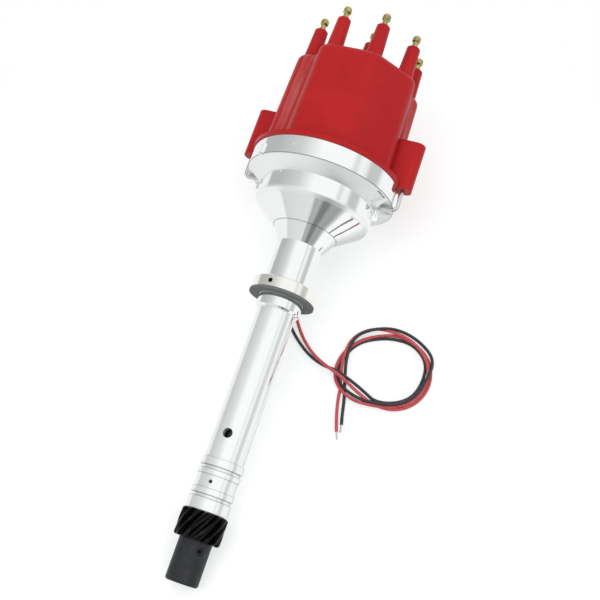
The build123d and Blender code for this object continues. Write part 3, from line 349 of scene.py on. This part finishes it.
def gear_steel():
    """Blackened steel of the gear: dark teeth with rubbed patches, a paler sooty hub and an oily ring at the pin.
    """
    finish = Finish("gear_steel")
    height = finish.along(SHAFT_AXIS)
    hub = 1 - finish.step(height, HUB_TOP - 0.0004, HUB_TOP)
    offset = finish.node("VectorMath", {"operation": "SUBTRACT"}, {0: finish.place(), 1: PIN_PLACE})
    aside = finish.node("VectorMath", {"operation": "CROSS_PRODUCT"}, {0: offset, 1: tuple(PIN_AXIS)})
    reach = finish.node("VectorMath", {"operation": "LENGTH"}, {0: aside}, out=1)
    pin_ring = finish.lines(reach, (PIN_RADIUS,), 0.00055) * hub
    grain = finish.noise(1400.0, 4.0, 0.6)
    rub = finish.step(finish.noise(160.0, 4.0, 0.6), 0.5, 0.72)
    teeth = finish.mix(rub, (0.012, 0.012, 0.013), (0.034, 0.035, 0.038))
    sooty = finish.mix(rub, (0.036, 0.037, 0.041), (0.052, 0.053, 0.058))
    return finish.surface(
        Base_Color=finish.mix(pin_ring, finish.mix(hub, teeth, sooty), (0.006, 0.006, 0.007)),
        Metallic=0.85 - hub * 0.35,
        Roughness=0.24 + grain * 0.12 + hub * 0.2,
        Normal=finish.bump(grain, 0.00001),
        Specular_IOR_Level=0.3,
    )


def bright_wire():
    """Plated steel rod and springs."""
    finish = Finish("bright_wire")
    cloud = finish.noise(140.0, 3.0)
    return finish.surface(
        Base_Color=finish.mix(cloud, (0.62, 0.63, 0.62), (0.80, 0.80, 0.79)),
        Metallic=1.0,
        Roughness=0.16 + cloud * 0.12,
        Normal=finish.bump(finish.noise(1900.0), 0.000004),
    )


def brass():
    """Turned brass, dulled a little, with patches of a brighter tone."""
    finish = Finish("brass")
    cloud = finish.noise(300.0, 3.0)
    return finish.surface(
        Base_Color=finish.mix(finish.step(cloud, 0.3, 0.7), (0.36, 0.31, 0.11), (0.54, 0.48, 0.22)),
        Metallic=1.0,
        Roughness=0.12 + cloud * 0.1,
        Normal=finish.bump(finish.noise(2400.0), 0.000004),
    )


def lead_sleeve(name, dark, light):
    """Soft vinyl sleeve of a lead: an even colour with faint scuffs."""
    finish = Finish(name)
    scuffs = finish.noise(420.0, 4.0, 0.65)
    return finish.surface(
        Base_Color=finish.mix(finish.step(scuffs, 0.35, 0.75), dark, light),
        Roughness=0.42 + scuffs * 0.12,
        Normal=finish.bump(scuffs, 0.00002),
    )


ALUMINIUM = polished_aluminium()
NICKEL = satin_nickel()
RED_PLASTIC = cap_plastic()
GEAR_STEEL = gear_steel()
BLACK_PLASTIC = black_moulding()
GASKET = gasket_paper()
BLACK_STEEL = oxide_steel("black_steel", (0.010, 0.011, 0.013), (0.035, 0.036, 0.040), 0.26)
BARE_STEEL = oxide_steel("bare_steel", (0.30, 0.30, 0.30), (0.46, 0.46, 0.45), 0.2)
DARK_SHAFT = oxide_steel("dark_shaft", (0.05, 0.052, 0.055), (0.12, 0.12, 0.125), 0.3)
BRIGHT_WIRE = bright_wire()
BRASS = brass()
RED_SLEEVE = lead_sleeve("red_sleeve", (0.52, 0.062, 0.075), (0.62, 0.10, 0.11))
BLACK_SLEEVE = lead_sleeve("black_sleeve", (0.022, 0.022, 0.026), (0.045, 0.045, 0.052))

FINISHES = {
    "housing": ALUMINIUM,
    "lower_bushing": DARK_SHAFT,
    "bearing_outer_race": BARE_STEEL,
    "bearing_inner_race": BARE_STEEL,
    "bearing_cage": BARE_STEEL,
    "retaining_ring": BLACK_STEEL,
    "main_shaft": DARK_SHAFT,
    "drive_gear": GEAR_STEEL,
    "roll_pin": GEAR_STEEL,
    "thrust_washer": BARE_STEEL,
    "centre_cam": BARE_STEEL,
    "slip_collar": NICKEL,
    "collar_set_screw": BLACK_STEEL,
    "collar_gasket": GASKET,
    "base_plate": BARE_STEEL,
    "ignition_module": BLACK_PLASTIC,
    "module_screws": BARE_STEEL,
    "pickup_sensor": BLACK_PLASTIC,
    "advance_sleeve": BARE_STEEL,
    "trigger_wheel": BARE_STEEL,
    "advance_weight_1": BARE_STEEL,
    "advance_weight_2": BARE_STEEL,
    "advance_springs": BRIGHT_WIRE,
    "shaft_shim": BARE_STEEL,
    "rotor": RED_PLASTIC,
    "rotor_blade": BRASS,
    "rotor_screws": BARE_STEEL,
    "distributor_cap": RED_PLASTIC,
    "plug_terminals": BRASS,
    "coil_terminal": BRASS,
    "carbon_button": BLACK_PLASTIC,
    "button_spring": BRIGHT_WIRE,
    "latch_rod_left": BRIGHT_WIRE,
    "latch_rod_right": BRIGHT_WIRE,
    "latch_washer_left": BRIGHT_WIRE,
    "latch_washer_right": BRIGHT_WIRE,
    "latch_spring_left": BRIGHT_WIRE,
    "latch_spring_right": BRIGHT_WIRE,
    "lead_grommet": BLACK_PLASTIC,
    "red_lead": RED_SLEEVE,
    "black_lead": BLACK_SLEEVE,
    "red_lead_end": RED_SLEEVE,
    "black_lead_end": BLACK_SLEEVE,
    "red_lead_core": BRIGHT_WIRE,
    "black_lead_core": BRIGHT_WIRE,
    "lead_coil": BLACK_SLEEVE,
}

for node_name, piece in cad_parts.items():
    piece.data.materials.clear()
    piece.data.materials.append(FINISHES[node_name])


# ---- leads ------------------------------------------------------------------------------------------------
# Each lead is one smooth spline: the stretch from the grommet, two loose turns, and its tail. A height is in
# layers of lead above the bench.
LEAD_EXITS = {"red": (0.0630, 0.0001, -0.0238), "black": (0.0630, 0.0027, -0.0238)}
LEAD_FALLS = {"red": (0.0565, 0.0003, -0.0322), "black": (0.0565, 0.0030, -0.0322)}
LEAD_ROUTES = {
    "red": (
        (0.0470, 0.0006, 0.3),
        (0.0350, -0.0005, 0),
        (0.0220, -0.0032, 0),
        (0.0085, -0.0097, 0),
        (-0.0030, -0.0176, 0),
        (-0.0108, -0.0249, 0.4),
        (-0.0164, -0.0316, 1),
        (-0.0209, -0.0398, 1.4),
        (-0.0250, -0.0484, 2.6),
        (-0.0284, -0.0572, 2.9),
        (-0.0330, -0.0660, 2.4),
        (-0.0362, -0.0748, 1.6),
    ),
    "black": (
        (0.0470, 0.0040, 0.3),
        (0.0330, 0.0035, 0),
        (0.0180, 0.0020, 0),
        (0.0060, -0.0035, 0),
        (-0.0034, -0.0114, 0),
        (-0.0098, -0.0184, 0),
        (-0.0155, -0.0262, 0),
        (-0.0190, -0.0334, 0),
        (-0.0218, -0.0415, 0.5),
        (-0.0232, -0.0502, 1.8),
        (-0.0260, -0.0584, 2.1),
        (-0.0300, -0.0692, 1.8),
        (-0.0330, -0.0766, 1.3),
    ),
}
LOOP_RADII = {  # millimetres, every 30 degrees
    "red": (
        28.5, 31.5, 33.2, 34.2, 33.9, 30.2, 28.8, 26.8, 28.3, 33.8, 37.6, 34.5,
        29.0, 29.5, 31.2, 31.7, 31.9, 29.3, 29.7, 32.6, 33.3, 31.0, 32.0,
    ),
    "black": (
        25.4, 25.8, 27.8, 28.3, 31.2, 29.6, 25.7, 24.8, 27.8, 31.0, 35.8, 31.2,
        27.4, 28.5, 29.4, 30.2, 37.0, 33.8, 32.8, 31.0, 32.3, 28.6, 28.8,
    ),
}
LOOP_HEIGHTS = {
    "red": (1, 0.5, 0, 0, 0.2, 1, 0, 0, 1, 0, 0, 1.1, 1, 1, 1, 1, 1.1, 2, 1.1, 1, 1, 1, 0),
    "black": (0.8, 0.3, 0, 0, 0, 0, 0, 0, 0, 0, 0, 1, 1.7, 2, 1.8, 2, 1, 1, 1, 2, 2, 0.6, 0),
}
TAIL_ROUTES = {
    "red": (
        (-0.0345, -0.0578, 0),
        (-0.0420, -0.0585, 0),
        (-0.0515, -0.0605, 0),
        (-0.0600, -0.0628, 0),
        (-0.0663, -0.0649, 0),
    ),
    "black": (
        (-0.0350, -0.0612, 0),
        (-0.0436, -0.0634, 0),
        (-0.0530, -0.0650, 0),
        (-0.0603, -0.0668, 0),
    ),
}


def loop_points(colour):
    """The two loose turns: at each step of angle, a point at its own radius from the middle of the loop."""
    points = []
    for index, (radius, height) in enumerate(zip(LOOP_RADII[colour], LOOP_HEIGHTS[colour])):
        angle = radians(LOOP_START + LOOP_STEP * index)
        reach = radius / 1000 / CORNER_CUT
        x = LOOP_CENTRE[0] + reach * cos(angle)
        y = LOOP_CENTRE[1] + reach * sin(angle)
        points.append((x, y, height))
    return points


SPLINE_STEPS = 8
SLEEVE_ROUNDNESS = 5


def spline(name, points, radius, material):
    """One smooth open spline through the bends of a cord, as a round tube."""
    curve = bpy.data.curves.new(name, "CURVE")
    curve.dimensions = "3D"
    line = curve.splines.new("NURBS")
    line.points.add(len(points) - 1)
    for point, place in zip(line.points, points):
        point.co = (*place, 1)
        point.radius = radius
    line.order_u = 3
    line.use_endpoint_u = True
    curve.resolution_u = SPLINE_STEPS
    curve.bevel_depth = 1.0  # times each point's own radius
    curve.bevel_resolution = SLEEVE_ROUNDNESS
    curve.use_fill_caps = True
    curve.materials.append(material)
    piece = bpy.data.objects.new(name, curve)
    bpy.context.scene.collection.objects.link(piece)
    return piece


def spline_length(piece):
    """The length of a spline's own line, from the points that Blender works out for it."""
    depth, piece.data.bevel_depth = piece.data.bevel_depth, 0
    line = bpy.data.meshes.new_from_object(piece)
    piece.data.bevel_depth = depth
    places = np.empty(3 * len(line.vertices))
    line.vertices.foreach_get("co", places)
    bpy.data.meshes.remove(line)
    steps = np.diff(places.reshape(-1, 3), axis=0)
    return float(np.linalg.norm(steps, axis=1).sum())


for colour, sleeve in (("red", RED_SLEEVE), ("black", BLACK_SLEEVE)):
    laid = [*LEAD_ROUTES[colour], *loop_points(colour), *TAIL_ROUTES[colour]]
    route = [LEAD_EXITS[colour], LEAD_FALLS[colour]]
    route += [(x, y, LEAD_Z + height * LAYER) for x, y, height in laid]
    lead = spline(f"{colour}_sleeve_tube", route, LEAD_RADIUS, sleeve)
    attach(lead, "housing")
    parts = [f"{colour}_lead", f"{colour}_lead_end"]
    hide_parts(*parts, *(["lead_coil"] if colour == "black" else []))
    length = spline_length(lead)
    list(["lead_grommet"] if colour == "red" else [])


# ---- springs ----------------------------------------------------------------------------------------------
# Each spring stands where the CAD has a plain sleeve of its size.
SPRING_TURNS = 6
STEPS_TO_A_TURN = 24
WIRE_SIDES = 10


def coil_spring(name, node):
    """A round wire on a screw line: the radius and the height of the line, and the wire's own radius, are those of
    a sleeve about the shaft's direction. A point of the wire is the line's point plus the wire's radius times
    (cos v outward + sin v along the axis). Returns the piece and the two ends of its axis."""
    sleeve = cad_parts[node].data
    places = np.empty(3 * len(sleeve.vertices))
    sleeve.vertices.foreach_get("co", places)
    axis, upward = np.array(SHAFT_AXIS), np.array(SHAFT_UP)
    middle = np.mean(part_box(node), axis=0)
    offset = places.reshape(-1, 3) - middle
    height = offset @ axis
    reach = np.linalg.norm(offset - np.outer(height, axis), axis=1)
    low, high = height.min(), height.max()
    wire = (reach.max() - reach.min()) / 2
    radius = (reach.max() + reach.min()) / 2

    along = np.linspace(0, 1, SPRING_TURNS * STEPS_TO_A_TURN + 1)[:, None, None]
    around = np.linspace(0, tau, WIRE_SIDES, endpoint=False)[None, :, None]
    turn = tau * SPRING_TURNS * along
    outward = np.cos(turn) * upward + np.sin(turn) * np.cross(axis, upward)
    line = middle + radius * outward + (low + wire + (high - low - 2 * wire) * along) * axis
    surface = line + wire * (np.cos(around) * outward + np.sin(around) * axis)
    rings = np.arange(surface.shape[0] * WIRE_SIDES).reshape(-1, WIRE_SIDES)
    after = np.roll(rings, -1, axis=1)
    faces = np.stack([rings[:-1], rings[1:], after[1:], after[:-1]], axis=2).reshape(-1, 4).tolist()
    faces += [rings[0].tolist(), rings[-1, ::-1].tolist()]

    mesh = bpy.data.meshes.new(name)
    mesh.from_pydata(surface.reshape(-1, 3).tolist(), [], faces)
    mesh.materials.append(BRIGHT_WIRE)
    piece = bpy.data.objects.new(name, mesh)
    bpy.context.scene.collection.objects.link(piece)
    return piece, middle + low * axis, middle + high * axis


LATCH_PRESS = 0.0025
BUTTON_PLUNGE = 0.0015
for name, node, joint, travel, fixed_low in (
    ("left_latch_coil", "latch_spring_left", "latch_left_press", LATCH_PRESS, True),
    ("right_latch_coil", "latch_spring_right", "latch_right_press", LATCH_PRESS, True),
    ("button_coil", "button_spring", "button_plunge", BUTTON_PLUNGE, False),
):
    coil, low_end, high_end = coil_spring(name, node)
    length = float(np.linalg.norm(high_end - low_end))
    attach(coil, "housing")
    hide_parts(node)
    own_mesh(coil)


# ---- stage ------------------------------------------------------------------------------------------------
FLOOR_CENTRE = (0.01, -0.02)
FLOOR_RADIUS = 0.32
FLOOR_SIDES = 96
GLOSSY_RAY = 3  # the Light Path node's outputs; its first is the camera's ray
CLEAR_RAY = 6


def white_floor():
    """A white bench top that still shows the shadow of what lies on it."""
    finish = Finish("white_floor")
    seen = finish.node("LightPath")
    for kind in (GLOSSY_RAY, CLEAR_RAY):
        ray = finish.node("LightPath", out=kind)
        seen = finish.node("Math", {"operation": "MAXIMUM"}, {0: seen, 1: ray})
    return finish.surface(
        Base_Color=(0.58, 0.565, 0.56),
        Roughness=0.9,
        Emission_Color=finish.mix(seen, (0.0, 0.0, 0.0), (0.50, 0.52, 0.525)),
        Emission_Strength=1.0,
    )


def add_floor():
    """A round bench top: one flat face of many sides, on a circle about the distributor."""
    turns = np.linspace(0, tau, FLOOR_SIDES, endpoint=False)
    x = FLOOR_CENTRE[0] + FLOOR_RADIUS * np.cos(turns)
    y = FLOOR_CENTRE[1] + FLOOR_RADIUS * np.sin(turns)
    corners = np.stack([x, y, np.full(FLOOR_SIDES, BENCH_Z)], axis=1)
    mesh = bpy.data.meshes.new("bench_top")
    mesh.from_pydata(corners.tolist(), [], [tuple(range(FLOOR_SIDES))])
    mesh.materials.append(white_floor())
    floor = bpy.data.objects.new("bench_top", mesh)
    floor.visible_glossy = False
    bpy.context.scene.collection.objects.link(floor)


# The studio is set out round the distributor: each direction of light is that in which a polished face of one
# slant and one turn about the shaft mirrors it upwards and towards the gear. Turns are degrees from -90 to 90.
STUDIO_LINE = Vector((0.4126, 0.1115, -0.9041))
STUDIO_TURN = radians(8)
CONE_SLANT = (0.22, 0.36)  # where the light of one sort of face gives way to that of the next
FLARE_SLANT = (0.84, 0.87)
CAP_SLANT = (0.25, 0.40)
CYLINDER_PANELS = (
    (-90, 0.92),
    (-60, 0.92),
    (-57, 0.50),
    (-44, 0.50),
    (-24, 0.66),
    (-9, 1.00),
    (14, 1.00),
    (18, 0.74),
    (22, 0.96),
    (26, 0.90),
    (30, 0.58),
    (38, 0.60),
    (43, 0.98),
    (90, 0.92),
)
CONE_PANELS = (
    (-90, 0.92),
    (-43, 0.94),
    (-40, 0.70),
    (-22, 0.76),
    (-5, 0.78),
    (-2, 0.42),
    (3, 0.46),
    (7, 0.22),
    (12, 0.21),
    (16, 0.38),
    (25, 0.36),
    (29, 0.55),
    (33, 1.00),
    (62, 1.00),
    (72, 0.78),
    (84, 0.64),
    (90, 0.68),
)
SHADE = (0.95, 1.0, 0.99)  # the cool tint of a panel that isn't lit fully
WHITE = (1.0, 1.0, 1.0)


def turn_ramp(finish, turn, stops):
    """Light by the turn about the shaft."""
    spread = []
    for degrees, level in stops:
        colour = tuple(level * (tint + (1 - tint) * level) for tint in SHADE)
        spread.append(((degrees + 90) / 180, colour))
    place = finish.node("MapRange", {}, {0: turn, 1: -tau / 4, 2: tau / 4, 3: 0.0, 4: 1.0})
    return finish.node("ValToRGB", {"stops": spread}, {0: place})


def light_the_world():
    """Soft white light from all round, with the greyer bands of a studio that polished metal mirrors."""
    world = bpy.data.worlds.new("studio")
    bpy.context.scene.world = world
    finish = Finish("studio", world)
    direction = finish.node("TexCoord", out=0)
    facing = finish.node("VectorMath", {"operation": "SUBTRACT"}, {0: direction, 1: tuple(STUDIO_LINE)})
    facing = finish.node("VectorMath", {"operation": "NORMALIZE"}, {0: facing})
    slant, upward, across = (finish.dot(facing, axis) for axis in (SHAFT_AXIS, SHAFT_UP, (0, -1, 0)))
    turn = finish.node("Math", {"operation": "ARCTAN2"}, {0: across, 1: upward}) - STUDIO_TURN
    on_cylinder = turn_ramp(finish, turn, CYLINDER_PANELS)
    on_cone = turn_ramp(finish, turn, CONE_PANELS)
    studio = finish.mix(finish.step(0 - slant, *CONE_SLANT), on_cylinder, on_cone)
    studio = finish.mix(finish.step(0 - slant, *FLARE_SLANT), studio, WHITE)
    studio = finish.mix(finish.step(slant, *CAP_SLANT), studio, WHITE)
    camera_ray = finish.node("LightPath")
    colour = finish.mix(camera_ray, studio, WHITE)
    background = finish.node("Background", {}, {"Color": colour, "Strength": 1.0})
    output = finish.tree.nodes.new("ShaderNodeOutputWorld")
    finish.tree.links.new(background.socket, output.inputs["Surface"])


LAMP_SIZE = 0.9


def add_lamp(name, place, aim, size, power):
    """A square soft lamp that points from its place at its aim."""
    data = bpy.data.lights.new(name, "AREA")
    data.size = size
    data.energy = power
    lamp = bpy.data.objects.new(name, data)
    lamp.visible_glossy = False
    bpy.context.scene.collection.objects.link(lamp)
    turn = (Vector(aim) - Vector(place)).to_track_quat("-Z", "Y").to_matrix().to_4x4()
    lamp.matrix_world = Matrix.Translation(Vector(place)) @ turn


add_floor()
light_the_world()
add_lamp("key_lamp", (-0.3, 0.5, 1.2), (0.05, 0.0, 0.0), LAMP_SIZE, 4.0)
add_lamp("fill_lamp", (-0.7, -0.6, 0.9), (0.0, 0.0, 0.0), LAMP_SIZE, 2.5)

bpy.context.scene.view_settings.view_transform = "Standard"
bpy.context.view_layer.update()
